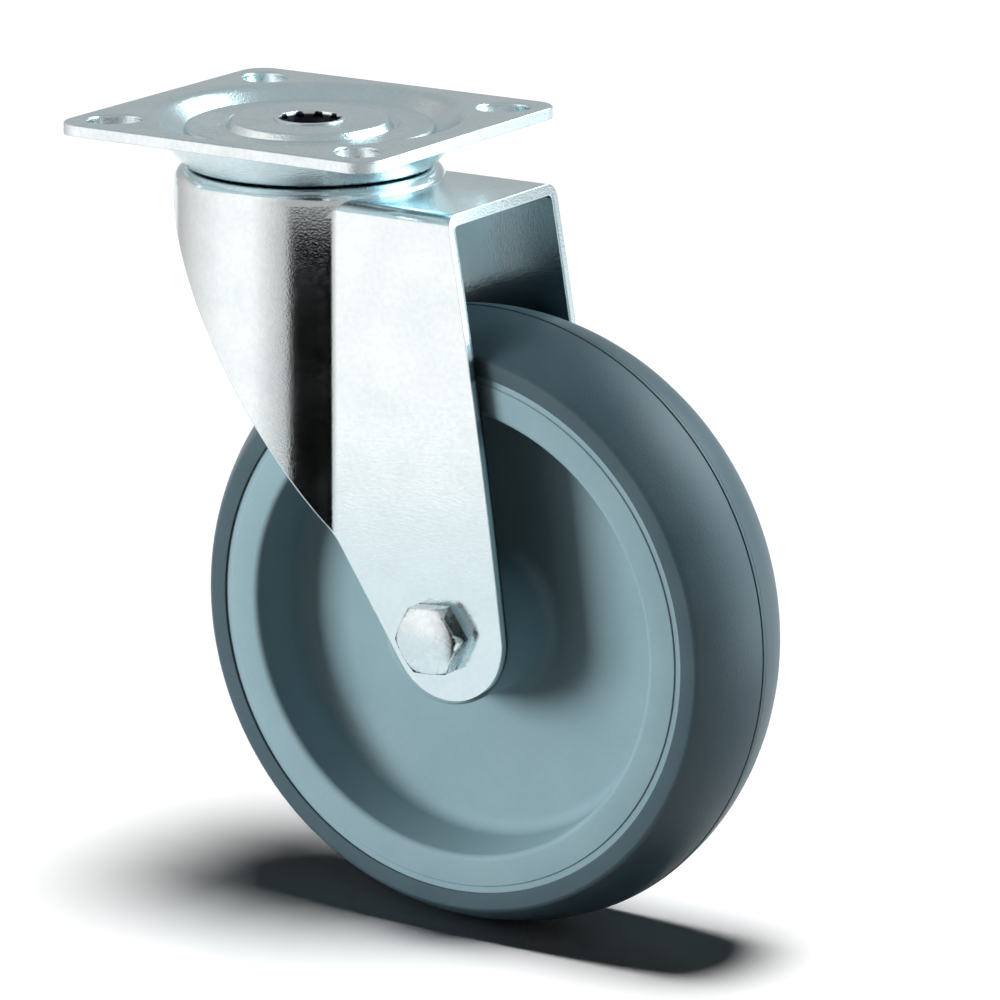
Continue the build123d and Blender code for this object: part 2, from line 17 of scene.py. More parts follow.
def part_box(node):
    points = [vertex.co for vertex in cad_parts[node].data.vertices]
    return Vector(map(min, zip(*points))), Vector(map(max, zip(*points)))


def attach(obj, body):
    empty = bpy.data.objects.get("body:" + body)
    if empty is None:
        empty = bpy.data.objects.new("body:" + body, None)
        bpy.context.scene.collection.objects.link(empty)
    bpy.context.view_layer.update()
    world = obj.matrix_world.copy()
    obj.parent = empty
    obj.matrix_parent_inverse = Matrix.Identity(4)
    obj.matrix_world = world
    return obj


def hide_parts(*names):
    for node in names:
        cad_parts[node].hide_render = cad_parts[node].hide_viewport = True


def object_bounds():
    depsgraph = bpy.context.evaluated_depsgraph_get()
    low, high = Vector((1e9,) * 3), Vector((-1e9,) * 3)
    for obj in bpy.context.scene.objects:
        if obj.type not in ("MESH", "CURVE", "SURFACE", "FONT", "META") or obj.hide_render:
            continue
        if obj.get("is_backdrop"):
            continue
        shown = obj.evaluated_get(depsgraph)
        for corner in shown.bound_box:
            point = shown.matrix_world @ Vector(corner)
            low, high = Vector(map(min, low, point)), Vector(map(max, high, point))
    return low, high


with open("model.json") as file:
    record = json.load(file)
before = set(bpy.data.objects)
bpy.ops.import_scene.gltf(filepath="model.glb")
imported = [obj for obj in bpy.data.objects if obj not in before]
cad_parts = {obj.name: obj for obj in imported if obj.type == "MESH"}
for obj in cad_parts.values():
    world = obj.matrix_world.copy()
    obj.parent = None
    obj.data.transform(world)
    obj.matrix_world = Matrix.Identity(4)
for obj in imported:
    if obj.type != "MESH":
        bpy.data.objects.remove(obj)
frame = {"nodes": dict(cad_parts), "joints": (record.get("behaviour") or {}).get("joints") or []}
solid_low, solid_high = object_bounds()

nodes = frame["nodes"]
print(f"{len(nodes)} parts, box {tuple(solid_low)} to {tuple(solid_high)}")

# %% [markdown]
# ## The few sizes that the new pieces share
# All lengths are metres, in the frame's own axes: Z is up from the plate's face, X runs from the
# swivel's centre towards the wheel, and the axle lies along Y. The axle's place is read from the
# joint that the wheel turns on, so the pieces made here can't drift away from the frame.

# %% Shared sizes
MM = 0.001
MERGE = 0.001 * MM
spin_joint = next(joint for joint in frame["joints"] if joint["child"] == "wheel")
AXLE = Vector(spin_joint["pos_m"])
AXLE_LINE = Vector((0, 1, 0))
tyre_low, tyre_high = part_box("tyre")
WHEEL_R = (tyre_high.z - tyre_low.z) / 2
print(f"axle at {tuple(AXLE)}, wheel radius {WHEEL_R / MM:.2f} mm")

# %% [markdown]
# ## Arithmetic on shader nodes
# A material in Blender is a tree of nodes, and even a sum is a node. Wiring sums by hand takes many
# lines, so a `Wire` stands for one node's output and understands +, - and *, each of which adds a
# Math node. A formula then reads as it would on paper.

# %% Wire
def maths(mixture, operation, *values):
    return mixture.node("ShaderNodeMath", {"operation": operation}, dict(enumerate(values)))


class Wire:
    """One output of a shader node. Arithmetic on it adds Math nodes."""

    def __init__(self, mixture, socket):
        self.mixture = mixture
        self.socket = socket

    def __add__(self, other):
        return maths(self.mixture, "ADD", self, other)

    def __sub__(self, other):
        return maths(self.mixture, "SUBTRACT", self, other)

    def __rsub__(self, other):
        return maths(self.mixture, "SUBTRACT", other, self)

    def __mul__(self, other):
        return maths(self.mixture, "MULTIPLY", self, other)

    __radd__ = __add__
    __rmul__ = __mul__


# %% [markdown]
# ## A recipe for each material
# Every other node comes from one method, `node`: it sets the node's options first and its sockets
# second, because some sockets only appear once an option is chosen. A `Mixture` does this in any
# tree, the sky's too, and a `Recipe` is the mixture of one material, ending in its shader.

# %% Mixture and Recipe
class Mixture:
    """A tree of shader nodes that is being filled."""

    def __init__(self, tree):
        self.tree = tree

    def connect(self, socket, value):
        if isinstance(value, Wire):
            self.tree.links.new(value.socket, socket)
        else:
            socket.default_value = value

    def node(self, kind, settings=None, inputs=None, output=0):
        made = self.tree.nodes.new(kind)
        for setting, value in (settings or {}).items():
            setattr(made, setting, value)
        for socket, value in (inputs or {}).items():
            self.connect(made.inputs[socket], value)
        return Wire(self, made.outputs[output])


class Recipe(Mixture):
    """One material. Its `finish` takes the shader's sockets by name, such as base_color."""

    def __init__(self, name):
        self.material = bpy.data.materials.new(name)
        self.material.use_nodes = True
        super().__init__(self.material.node_tree)

    def finish(self, **sockets):
        shader = self.tree.nodes["Principled BSDF"]
        for name, value in sockets.items():
            socket_name = name.replace("_", " ").title().replace("Ior", "IOR")
            self.connect(shader.inputs[socket_name], value)
        print(f"{self.material.name}: {len(self.tree.nodes)} nodes")
        return self.material


# %% [markdown]
# ## Patterns that several finishes use
# Real surfaces are never even. A noise texture read in object coordinates gives a pattern of a known
# size on every part: `speckle` returns a number from 0 to 1 that varies over a length in metres.
# `mixed` blends two colours by such a number, `stretched` spreads a narrow range of it over 0 to 1,
# and `relief` tilts the surface by it, with edges that look rounded where a radius is given.

# %% Patterns
BEVEL_SAMPLES = 6


def colour(red, green, blue):
    return (red, green, blue, 1.0)


def object_place(recipe):
    return recipe.node("ShaderNodeTexCoord", output="Object")


def speckle(recipe, size, detail=2.0, roughness=0.5, squash=(1.0, 1.0, 1.0)):
    place = recipe.node("ShaderNodeMapping", inputs={"Vector": object_place(recipe), "Scale": squash})
    inputs = {"Vector": place, "Scale": 1.0 / size, "Detail": detail, "Roughness": roughness}
    return recipe.node("ShaderNodeTexNoise", inputs=inputs)


def stretched(recipe, wire, low, high, to_low=0.0, to_high=1.0):
    inputs = {"Value": wire, "From Min": low, "From Max": high, "To Min": to_low, "To Max": to_high}
    return recipe.node("ShaderNodeMapRange", inputs=inputs)


def mixed(recipe, share, first, second):
    colours = {0: share, 6: first, 7: second}
    return recipe.node("ShaderNodeMix", {"data_type": "RGBA"}, colours, output=2)


def relief(recipe, height, depth, edge_r=0.0):
    inputs = {"Height": height, "Distance": depth, "Strength": 1.0}
    if edge_r > 0:
        bevel = {"samples": BEVEL_SAMPLES}
        inputs["Normal"] = recipe.node("ShaderNodeBevel", bevel, {"Radius": edge_r})
    return recipe.node("ShaderNodeBump", inputs=inputs)


# %% [markdown]
# ## Bright zinc plating
# The plate, fork, kingpin and race cup are pressed steel with a thin bluish zinc coat. The coat is
# shiny but never flat: it follows the rolled steel's tiny dimples, which break each reflection into
# grains. So this is a smooth metal with a fine bump, some patches a little duller than others, and
# edges rounded by a fraction of a millimetre, because a sheared edge that is plated is never sharp.

# %% Zinc
GRAIN = 0.45 * MM
FLECK = 1.1 * MM
PATCH = 9 * MM
PLATED_EDGE_R = 0.3 * MM
PALE_ZINC = (0.65, 0.77, 0.80)
GREY_ZINC = (0.57, 0.69, 0.73)


def zinc_plating(name, bright, dull, rough, dimple, edge_r=PLATED_EDGE_R, shade=None):
    zinc = Recipe(name)
    grains = speckle(zinc, GRAIN, roughness=0.6)
    patches = stretched(zinc, speckle(zinc, PATCH, detail=4.0), 0.3, 0.7)
    flecks = stretched(zinc, speckle(zinc, FLECK, detail=1.0), 0.35, 0.75)
    tone = patches * 0.6 + flecks * 0.4
    coat = mixed(zinc, tone, colour(*bright), colour(*dull))
    # A shade function, where one is given, paints shade into the coat's colour.
    if shade:
        coat = shade(zinc, coat)
    return zinc.finish(
        base_color=coat,
        metallic=1.0,
        roughness=stretched(zinc, tone, 0.2, 0.8, *rough),
        normal=relief(zinc, grains, dimple, edge_r),
    )


pressed_zinc = zinc_plating("pressed_zinc", PALE_ZINC, GREY_ZINC, (0.14, 0.22), 0.020 * MM)
plate_zinc = zinc_plating("plate_zinc", PALE_ZINC, (0.54, 0.66, 0.70), (0.18, 0.28), 0.050 * MM)
turned_zinc = zinc_plating(
    "turned_zinc", (0.64, 0.73, 0.76), (0.54, 0.64, 0.67), (0.16, 0.26), 0.012 * MM
)
bolt_zinc = zinc_plating(
    "bolt_zinc", (0.64, 0.75, 0.78), (0.52, 0.64, 0.68), (0.22, 0.34), 0.008 * MM, edge_r=0.25 * MM
)

# %% [markdown]
# ## Painted shade in the zinc
# Little light gets between the fork's legs or into the kingpin's hollow, so that shade is painted
# into the zinc's colour: the fork's inner faces are painted dark and the kingpin's hollow black.
# Painting each face apart would need the mesh cut up. Instead, the shader asks where the point is:
# between the legs and below the crown, or inside the pin's radius. Each pair of lengths below is
# where such a region starts to fade and where it has gone.

# %% Zinc with painted shade
LEG_INNER_FACE = (17.9 * MM, 18.3 * MM)
CROWN_UNDERSIDE = (-14.9 * MM, -14.2 * MM)
DARK_UP_TO_PALE = (-54 * MM, -18 * MM)
PIN_MOUTH = (-1.5 * MM, -1.1 * MM)
PIN_FOOT = (-14.2 * MM, -14 * MM)
PIN_WALL = (6.44 * MM, 6.5 * MM)


def place_of(recipe):
    """The point being shaded as three wires: X, Y and Z."""
    split = recipe.node("ShaderNodeSeparateXYZ", inputs={0: object_place(recipe)})
    return [Wire(recipe, output) for output in split.socket.node.outputs]


def fork_inside_painted_shade(recipe, coat):
    """Painted shade inside the fork: dark between the legs below the crown, darkest low down."""
    _, y, z = place_of(recipe)
    within = stretched(recipe, maths(recipe, "ABSOLUTE", y), *LEG_INNER_FACE, 1.0, 0.0)
    below = stretched(recipe, z, *CROWN_UNDERSIDE, 1.0, 0.0)
    height = stretched(recipe, z, *DARK_UP_TO_PALE)
    # painted shade: dark low between the legs, paler up towards the crown
    painted_inside_shade = mixed(recipe, height, colour(0.05, 0.07, 0.08), colour(0.34, 0.43, 0.46))
    return mixed(recipe, within * below, coat, painted_inside_shade)


def pin_hollow_painted_shade(recipe, coat):
    """Painted shade: the kingpin's hollow is painted nearly black."""
    x, y, z = place_of(recipe)
    reach = maths(recipe, "SQRT", x * x + y * y)
    along = stretched(recipe, z, *PIN_MOUTH, 1.0, 0.0) * stretched(recipe, z, *PIN_FOOT)
    hollow = along * stretched(recipe, reach, *PIN_WALL, 1.0, 0.0)
    # painted shade: the hollow inside the pin's wall is painted nearly black
    return mixed(recipe, hollow, coat, colour(0.012, 0.014, 0.017))


# The fork's zinc carries painted shade on its inner faces.
fork_zinc = zinc_plating(
    "fork_zinc", PALE_ZINC, GREY_ZINC, (0.11, 0.17), 0.024 * MM, shade=fork_inside_painted_shade
)
# The kingpin's zinc carries painted shade in its hollow.
kingpin_zinc = zinc_plating(
    "kingpin_zinc", (0.66, 0.75, 0.78), (0.56, 0.66, 0.69), (0.16, 0.26), 0.012 * MM, shade=pin_hollow_painted_shade
)

# %% [markdown]
# ## Ground and drawn steel
# Balls and bearing rings are ground after hardening: almost a mirror, with faint marks that run
# round the ring. The sleeves and shields are drawn steel with a duller skin. One recipe does for all
# of them, with the noise squashed along the axle so that its marks run the way the tool went.

# %% Steels
TOOL_MARK = 2.4 * MM
SMEAR = 6 * MM
ALONG_THE_RING = (1.0, 14.0, 1.0)
SMEAR_TINT = 0.84


def ground_steel(name, tint, rough, mark_depth):
    steel = Recipe(name)
    marks = speckle(steel, TOOL_MARK, detail=3.0, squash=ALONG_THE_RING)
    smears = stretched(steel, speckle(steel, SMEAR, detail=3.0), 0.3, 0.7)
    darker = [SMEAR_TINT * part for part in tint]
    return steel.finish(
        base_color=mixed(steel, smears, colour(*tint), colour(*darker)),
        metallic=1.0,
        roughness=stretched(steel, smears, 0.0, 1.0, rough, rough + 0.1),
        normal=relief(steel, marks, mark_depth),
    )


ball_steel = ground_steel("ball_steel", (0.62, 0.64, 0.66), 0.08, 0.002 * MM)
ring_steel = ground_steel("ring_steel", (0.55, 0.58, 0.60), 0.22, 0.010 * MM)
shield_steel = ground_steel("shield_steel", (0.42, 0.45, 0.47), 0.32, 0.015 * MM)
tube_steel = ground_steel("tube_steel", (0.48, 0.52, 0.55), 0.34, 0.02 * MM)

# %% [markdown]
# ## Moulded plastic and rubber
# The wheel's centre is a blue-grey plastic: matt, with a fine texture from the mould and slightly
# paler clouds where its filler reaches the skin. The tyre is black-blue rubber, a little smoother,
# with a grey bloom. The nut's locking ring and the ball cages are nylon. All four come out of a
# mould, so one recipe makes them, and only their colours, grain and shine differ.

# %% Plastic, rubber and nylon
CLOUD = 14 * MM
PIP = 0.8 * MM


def moulded(name, dark, pale, rough, grain, grain_depth, edge_r=0.0, shine=0.5):
    plastic = Recipe(name)
    clouds = stretched(plastic, speckle(plastic, CLOUD, detail=4.0), 0.3, 0.7)
    pips = stretched(plastic, speckle(plastic, PIP, detail=1.0), 0.45, 0.8)
    texture = speckle(plastic, grain)
    tone = clouds * 0.7 + pips * 0.3
    return plastic.finish(
        base_color=mixed(plastic, tone, colour(*dark), colour(*pale)),
        roughness=stretched(plastic, tone, 0.0, 1.0, *rough),
        specular_ior_level=shine,
        normal=relief(plastic, texture, grain_depth, edge_r),
    )


rim_plastic = moulded(
    "rim_plastic", (0.190, 0.290, 0.327), (0.222, 0.322, 0.357), (0.46, 0.56),
    grain=0.5 * MM, grain_depth=0.02 * MM, edge_r=0.25 * MM, shine=0.2,
)
tyre_rubber = moulded(
    "tyre_rubber", (0.034, 0.064, 0.080), (0.050, 0.086, 0.102), (0.40, 0.52),
    grain=0.45 * MM, grain_depth=0.028 * MM, edge_r=0.2 * MM, shine=0.35,
)
insert_nylon = moulded(
    "insert_nylon", (0.60, 0.66, 0.66), (0.70, 0.75, 0.74), (0.40, 0.50),
    grain=0.6 * MM, grain_depth=0.01 * MM,
)
cage_nylon = moulded(
    "cage_nylon", (0.50, 0.44, 0.32), (0.60, 0.54, 0.40), (0.42, 0.52),
    grain=0.6 * MM, grain_depth=0.01 * MM,
)

# %% [markdown]
# ## Put the finishes on the frame's parts
# Most parts of the frame already have the right shape, down to the slots in the plate and the balls
# in the bearings. Making them again would only add errors, so they keep their meshes and take a
# material. The three that are replaced further on get one too, so that no part is ever left plain.

# %% Finishes
finishes = {
    "top_plate": plate_zinc,
    "kingpin": kingpin_zinc,
    "spacer_sleeve": turned_zinc,
    "lower_race_cup": pressed_zinc,
    "fork": fork_zinc,
    "upper_balls": ball_steel,
    "lower_balls": ball_steel,
    "axle_bolt": bolt_zinc,
    "axle_nut": bolt_zinc,
    "nut_insert": insert_nylon,
    "axle_tube": tube_steel,
    "bearing_spacer": tube_steel,
    "wheel_core": rim_plastic,
    "tyre": tyre_rubber,
}
for side in ("left", "right"):
    finishes[f"{side}_collar"] = tube_steel
    finishes[f"{side}_inner_ring"] = ring_steel
    finishes[f"{side}_outer_ring"] = ring_steel
    finishes[f"{side}_bearing_balls"] = ball_steel
    finishes[f"{side}_ball_cage"] = cage_nylon
    finishes[f"{side}_shields"] = shield_steel

for name, part in nodes.items():
    part.data.materials.clear()
    part.data.materials.append(finishes[name])
print(f"{len(finishes)} parts finished, {len(set(nodes) - set(finishes))} left")

# %% [markdown]
# ## From a mesh to a piece of the castor
# Every new piece ends the same way: its loose joins are merged, its faces are turned outwards, its
# shading is smooth except at true edges, and it is told which body it moves with. Helpers do that
# once, so no piece can miss a step.

# %% Finished pieces
SHARP_ANGLE = math.radians(32)


def mesh_data(name, mesh):
    data = bpy.data.meshes.new(name)
    mesh.to_mesh(data)
    mesh.free()
    return data


def placed(name, data):
    thing = bpy.data.objects.new(name, data)
    bpy.context.scene.collection.objects.link(thing)
    return thing


def finished_piece(name, mesh, body, material):
    """Turn a bmesh into an object that rides on a body."""
    bmesh.ops.remove_doubles(mesh, verts=mesh.verts[:], dist=MERGE)
    bmesh.ops.recalc_face_normals(mesh, faces=mesh.faces[:])
    data = mesh_data(name, mesh)
    data.shade_smooth()
    data.set_sharp_from_angle(angle=SHARP_ANGLE)
    data.materials.append(material)
    piece = placed(name, data)
    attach(piece, body)
    print(f"{name}: {len(data.polygons)} faces")
    return piece


# %% [markdown]
# ## Turning a profile into a ring
# The tyre and the wheel's centre are both turned shapes. On a lathe one would cut the outline once
# and let the work spin, and Blender's spin operator does the same: `turned_piece` lays the outline
# in the plane through the axle, rounds each corner with a vertex bevel, and spins it a full turn.
# Both are the same on either side, so only half an outline is written and `both_sides` mirrors it.

# %% Turned pieces
BEND_SEGMENTS = 5
RING_STEPS = 180


def rounded_outline(mesh, corners):
    """A closed outline of (radius, y, rounding) corners, all in millimetres, beside the axle."""
    points = [mesh.verts.new(AXLE + Vector((radius, y, 0)) * MM) for radius, y, _ in corners]
    for first, second in zip(points, points[1:] + points[:1]):
        mesh.edges.new((first, second))
    for point, (_, _, rounding) in zip(points, corners):
        if rounding:
            bmesh.ops.bevel(
                mesh, geom=[point], offset=rounding * MM, offset_type="OFFSET", affect="VERTICES",
                segments=BEND_SEGMENTS, profile=0.5, material=-1, clamp_overlap=False,
            )


def both_sides(half):
    return half + [(radius, -y, rounding) for radius, y, rounding in reversed(half)]


def turned_piece(name, corners, body, material):
    mesh = bmesh.new()
    rounded_outline(mesh, corners)
    bmesh.ops.spin(
        mesh, geom=mesh.verts[:] + mesh.edges[:], cent=AXLE, axis=AXLE_LINE,
        angle=math.tau, steps=RING_STEPS, use_merge=True, use_duplicate=False,
    )
    return finished_piece(name, mesh, body, material)


# %% [markdown]
# ## The wheel's centre
# A rim, a thin web and a hub in one moulding. Seen from the side, the web sits deep between them, and
# every inside corner has a fillet that lets the plastic flow and the mould release. A shallow step
# inside the rim's edge is where the tyre's rubber is shut off against the plastic. It could be
# carved from discs, but an outline gives each corner its own radius. The numbers are millimetres.

# %% Wheel centre
SPACER_BORE_R = 11.0
SEAT_R, SEAT_END = 12.0, 10.2
HUB_R, HUB_END = 14.5, 16.6
WEB_R, WEB_HALF = 44.0, 2.0
WELL_R, RIM_FACE = 45.4, 15.7
STEP_R, STEP_FACE = 51.5, 15.4
RIM_R, RIM_SHOULDER = 52.95, 7.0
RUBBER_KEY = (50.4, 6.2, 0)
core_half = [
    (SPACER_BORE_R, SEAT_END, 0), (SEAT_R, SEAT_END, 0), (SEAT_R, HUB_END, 0.4),
    (HUB_R, HUB_END, 0.8), (HUB_R, WEB_HALF, 3.4), (WEB_R, WEB_HALF, 2.8),
    (WELL_R, RIM_FACE, 1.2), (STEP_R, RIM_FACE, 0.12), (STEP_R + 0.1, STEP_FACE, 0.12),
    (RIM_R, STEP_FACE, 0), (RIM_R, RIM_SHOULDER, 0), RUBBER_KEY,
]
wheel_centre = turned_piece(
    "wheel_centre", both_sides(core_half), "wheel", rim_plastic
)
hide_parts("wheel_core")

# %% [markdown]
# ## The tyre
# Each half of the tread is a shallow arch that also slopes away from the middle, so the tyre rolls
# on its centre. Where the two halves of the mould meet, a thin flash line stands up between two fine
# grooves. The arch is drawn as short straight lines whose corners are so flat that smooth shading
# hides them, which keeps the outline as simple to read as the wheel's.

# %% Tyre
CROWN_R = 28.6
CROWN_SLOPE = math.tan(math.radians(4))
CROWN_STATIONS = (14.0, 12.0, 10.0, 8.0, 6.0, 4.5, 3.0, 2.0, 1.3)
FLASH_HALF, FLASH_HEIGHT, FLASH_FOOT = 0.42, 0.06, 0.06
GROOVE_HALF, GROOVE_DEPTH = 0.75, 0.3
SIDE_R, SIDE_FACE = 56.15, 16.0
SHOULDER_R, SHOULDER_FACE = 56.85, 15.4
tyre_r = WHEEL_R / MM


def tread_radius(y):
    arch = CROWN_R - math.sqrt(CROWN_R**2 - y**2)
    return tyre_r - FLASH_HEIGHT - CROWN_SLOPE * y - arch


tyre_half = [
    RUBBER_KEY, (RIM_R, RIM_SHOULDER, 0), (RIM_R, SIDE_FACE - 0.1, 0.1),
    (SIDE_R, SIDE_FACE, 0.25), (SHOULDER_R, SHOULDER_FACE, 0.3),
    *((tread_radius(y), y, 0) for y in CROWN_STATIONS),
    (tread_radius(GROOVE_HALF), GROOVE_HALF, 0.05),
    (tyre_r - GROOVE_DEPTH, FLASH_HALF + FLASH_FOOT, 0.03), (tyre_r, FLASH_HALF, 0.06),
]
tyre_ring = turned_piece("tyre_ring", both_sides(tyre_half), "wheel", tyre_rubber)
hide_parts("tyre")

# %% [markdown]
# ## Cutting and closing
# The bolt ends in a thread that shows past the nut, and both the thread and the bolt have to be cut
# square across the axle. The bisect operator cuts along a plane and can drop one side, but it leaves
# the cut open, so the hole is filled from the edges that lie in that plane.

# %% Cut across
def lies_across(edge, y):
    return all(abs(vert.co.y - y) < MERGE for vert in edge.verts)


def cut_across(mesh, y, side):
    """Cut a mesh across the axle, drop what lies on one side (1 or -1), and close the cut."""
    bmesh.ops.bisect_plane(
        mesh, geom=mesh.verts[:] + mesh.edges[:] + mesh.faces[:],
        plane_co=(0, y, 0), plane_no=(0, side, 0), clear_outer=True,
    )
    open_edges = [edge for edge in mesh.edges if edge.is_boundary and lies_across(edge, y)]
    bmesh.ops.holes_fill(mesh, edges=open_edges)


# %% [markdown]
# ## The thread
# A thread is one V drawn beside the axle and swept round it while it climbs, which the spin operator
# does when it is given a step along the axis. It is swept too far at both ends and then cut back.
# Then the ridges near the bolt's end are pulled in to a cone, as the chamfer of a real bolt does.

# %% Thread
BOLT_R = 4.0 * MM
PITCH = 1.25 * MM
ROOT_R = BOLT_R - 0.68 * MM
RIDGE_START, RIDGE_STOP = 0.44 * PITCH, 0.56 * PITCH
CHAMFER = 0.8 * MM
THREAD_STEPS = 64
bolt_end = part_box("axle_bolt")[1].y
cut_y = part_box("axle_nut")[1].y - 1.0 * MM

thread = bmesh.new()
ridge = [(ROOT_R, 0), (BOLT_R, RIDGE_START), (BOLT_R, RIDGE_STOP), (ROOT_R, PITCH)]
ridge_points = [
    thread.verts.new((AXLE.x + radius, cut_y - PITCH + along, AXLE.z)) for radius, along in ridge
]
ridge_lines = [thread.edges.new(pair) for pair in zip(ridge_points, ridge_points[1:])]
turns = math.ceil((bolt_end - cut_y) / PITCH) + 1
bmesh.ops.spin(
    thread, geom=ridge_points + ridge_lines, cent=AXLE, axis=AXLE_LINE,
    dvec=(0, PITCH / THREAD_STEPS, 0), angle=math.tau * turns, steps=THREAD_STEPS * turns,
    use_merge=False, use_duplicate=False,
)
bmesh.ops.remove_doubles(thread, verts=thread.verts[:], dist=MERGE)
cut_across(thread, bolt_end, 1)
cut_across(thread, cut_y, -1)
for vert in thread.verts:
    spoke = (vert.co - AXLE) * Vector((1, 0, 1))
    room = BOLT_R - max(0, vert.co.y - bolt_end + CHAMFER)
    if spoke.length > room:
        vert.co -= spoke * (1 - room / spoke.length)
thread_data = mesh_data("thread", thread)
print(f"thread: {turns} turns, {len(thread_data.polygons)} faces")

# %% [markdown]
# ## The threaded bolt
# The head and shank of the engineering model's bolt are right, so they are copied. The copy is cut
# off inside the nut, where nobody sees the join, and the thread goes on from there. A part's own
# mesh is loose triangles and is left alone: only the copy is merged.

# %% Threaded bolt
bolt_mesh = bmesh.new()
bolt_mesh.from_mesh(nodes["axle_bolt"].data)
bmesh.ops.remove_doubles(bolt_mesh, verts=bolt_mesh.verts[:], dist=MERGE)
cut_across(bolt_mesh, cut_y, 1)
bolt_mesh.from_mesh(thread_data)
threaded_bolt = finished_piece("threaded_bolt", bolt_mesh, "fork", bolt_zinc)
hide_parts("axle_bolt")

# %% [markdown]
# ## The studio floor
# The castor hangs in the frame with its plate's face at zero, so the floor lies under the tyre. A
# photographer would lay a roll of white paper there. To the camera and in reflections this floor is
# that paper, and it takes the castor's shadow. As a bounce light it is dark grey, because paper that
# threw its full light back up would wash out the wheel's recess.

# %% Floor
FLOOR_HALF = 6.0
MOTTLING = 0.4


def ray(mixture, kind):
    """1 for rays of one kind, such as "Is Camera Ray", and 0 for the rest."""
    return mixture.node("ShaderNodeLightPath", output=kind)


floor_mesh = bmesh.new()
bmesh.ops.create_grid(floor_mesh, x_segments=1, y_segments=1, size=FLOOR_HALF)
bmesh.ops.translate(floor_mesh, vec=(0, 0, solid_low.z), verts=floor_mesh.verts[:])
floor = placed("floor", mesh_data("floor", floor_mesh))
floor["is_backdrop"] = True

paper = Recipe("white_paper")
seen = ray(paper, "Is Camera Ray") + ray(paper, "Is Glossy Ray")
mottled = stretched(paper, speckle(paper, MOTTLING), 0.3, 0.7)
white = mixed(paper, mottled, colour(0.93, 0.935, 0.935), colour(0.95, 0.955, 0.955))
floor.data.materials.append(
    paper.finish(
        base_color=mixed(paper, seen, colour(0.16, 0.16, 0.16), white),
        roughness=1.0,
        specular_ior_level=0.0,
    )
)

# %% [markdown]
# ## Sky
# A world lights a scene from every side, which would wash out the hollows between the legs. So this
# sky is white for the camera, mid-grey for reflections, and almost dark as a light. Each kind of ray
# sees its own strength: one sum of the light path's outputs gives all three.

# %% Sky
SKY_FOR_CAMERA = 1.0
SKY_IN_METAL = 0.54
SKY_LIGHT = 0.01
world = bpy.data.worlds.new("studio_sky")
bpy.context.scene.world = world
world.use_nodes = True
sky = Mixture(world.node_tree)
in_view = ray(sky, "Is Camera Ray") + ray(sky, "Is Transmission Ray")
mirrored = ray(sky, "Is Glossy Ray")
strength = in_view * (SKY_FOR_CAMERA - SKY_LIGHT) + mirrored * (SKY_IN_METAL - SKY_LIGHT) + SKY_LIGHT
background = sky.tree.nodes["Background"]
sky.connect(background.inputs["Color"], colour(0.97, 0.99, 1.0))
sky.connect(background.inputs["Strength"], strength)
print(f"{world.name}: {len(sky.tree.nodes)} nodes")

# %% [markdown]
# ## Softboxes
# A softbox is a lamp behind a white cloth: a large area lamp does the same. One stands close at the
# front left, the key stands further off on the same side and lights the wheel's recess, and two at
# the back right and above it light the tread. Those two also show in the metal, as real ones would.
# The two in front don't, because the screens further on make the reflections on that side. The boxes
# light the castor alone, by light linking: the floor's light and shadow come from above.

# %% Softboxes
TARGET = Vector((0.0316, 0.0204, -0.0790))
JUST_ABOVE_FLOOR = solid_low.z + 2 * MM


def softbox(name, azimuth, distance, width, height, power, elevation=0, low_edge=None):
    """A rectangular lamp that faces the castor from a compass direction, in degrees."""
    around, up = math.radians(azimuth), math.radians(elevation)
    towards = Vector((math.cos(around) * math.cos(up), math.sin(around) * math.cos(up), math.sin(up)))
    lamp = bpy.data.lights.new(name, "AREA")
    lamp.shape = "RECTANGLE"
    lamp.size, lamp.size_y, lamp.energy = width, height, power
    box = placed(name, lamp)
    box.location = TARGET + towards * distance
    aim = box.location - TARGET
    if low_edge is not None:
        box.location.z = low_edge + height / 2
        aim.z = 0
    box.rotation_euler = aim.to_track_quat("Z", "Y").to_euler()
    box.visible_camera = False
    print(f"{name}: at {tuple(round(part, 3) for part in box.location)}, {power} W")
    return box


front_left = softbox(
    "front_left_box", azimuth=-132.5, distance=0.36, width=0.573, height=0.66, power=0.78,
    low_edge=JUST_ABOVE_FLOOR,
)
back_right = softbox(
    "back_right_box", azimuth=27, distance=0.269, width=0.19, height=0.45, power=1.0,
    low_edge=JUST_ABOVE_FLOOR,
)
top_back = softbox(
    "top_back_box", azimuth=52, elevation=40, distance=0.60, width=0.50, height=0.40, power=3.0
)
key = softbox("key_box", azimuth=-124, elevation=8, distance=0.9, width=0.36, height=0.32, power=10.0)
for box in (front_left, key):
    box.visible_glossy = False
for box in (back_right, top_back):
    box.data.color = (0.80, 0.95, 1.0)

spared = bpy.data.collections.new("spared_by_the_boxes")
spared.objects.link(floor)
spared.collection_objects[0].light_linking.link_state = "EXCLUDE"
for box in (front_left, back_right, top_back, key):
    box.light_linking.receiver_collection = spared

# %% [markdown]
# ## Overhead light
# The soft shadow under the wheel comes from one broad light straight above. A large area lamp would
# be brightest in the middle of the floor. A sun lamp with a wide angle gives it the same strength
# everywhere, so the white stays even. It lights the floor alone.

# %% Overhead light
overhead_lamp = bpy.data.lights.new("overhead", "SUN")
overhead_lamp.energy = 3.55
overhead_lamp.angle = math.radians(18)
overhead = placed("overhead", overhead_lamp)
overhead.visible_glossy = False
overhead.visible_camera = False
floor_alone = bpy.data.collections.new("floor_alone")
floor_alone.objects.link(floor)
overhead.light_linking.receiver_collection = floor_alone
print(f"overhead: {overhead_lamp.energy} W/m2, {math.degrees(overhead_lamp.angle):.0f} degrees wide")

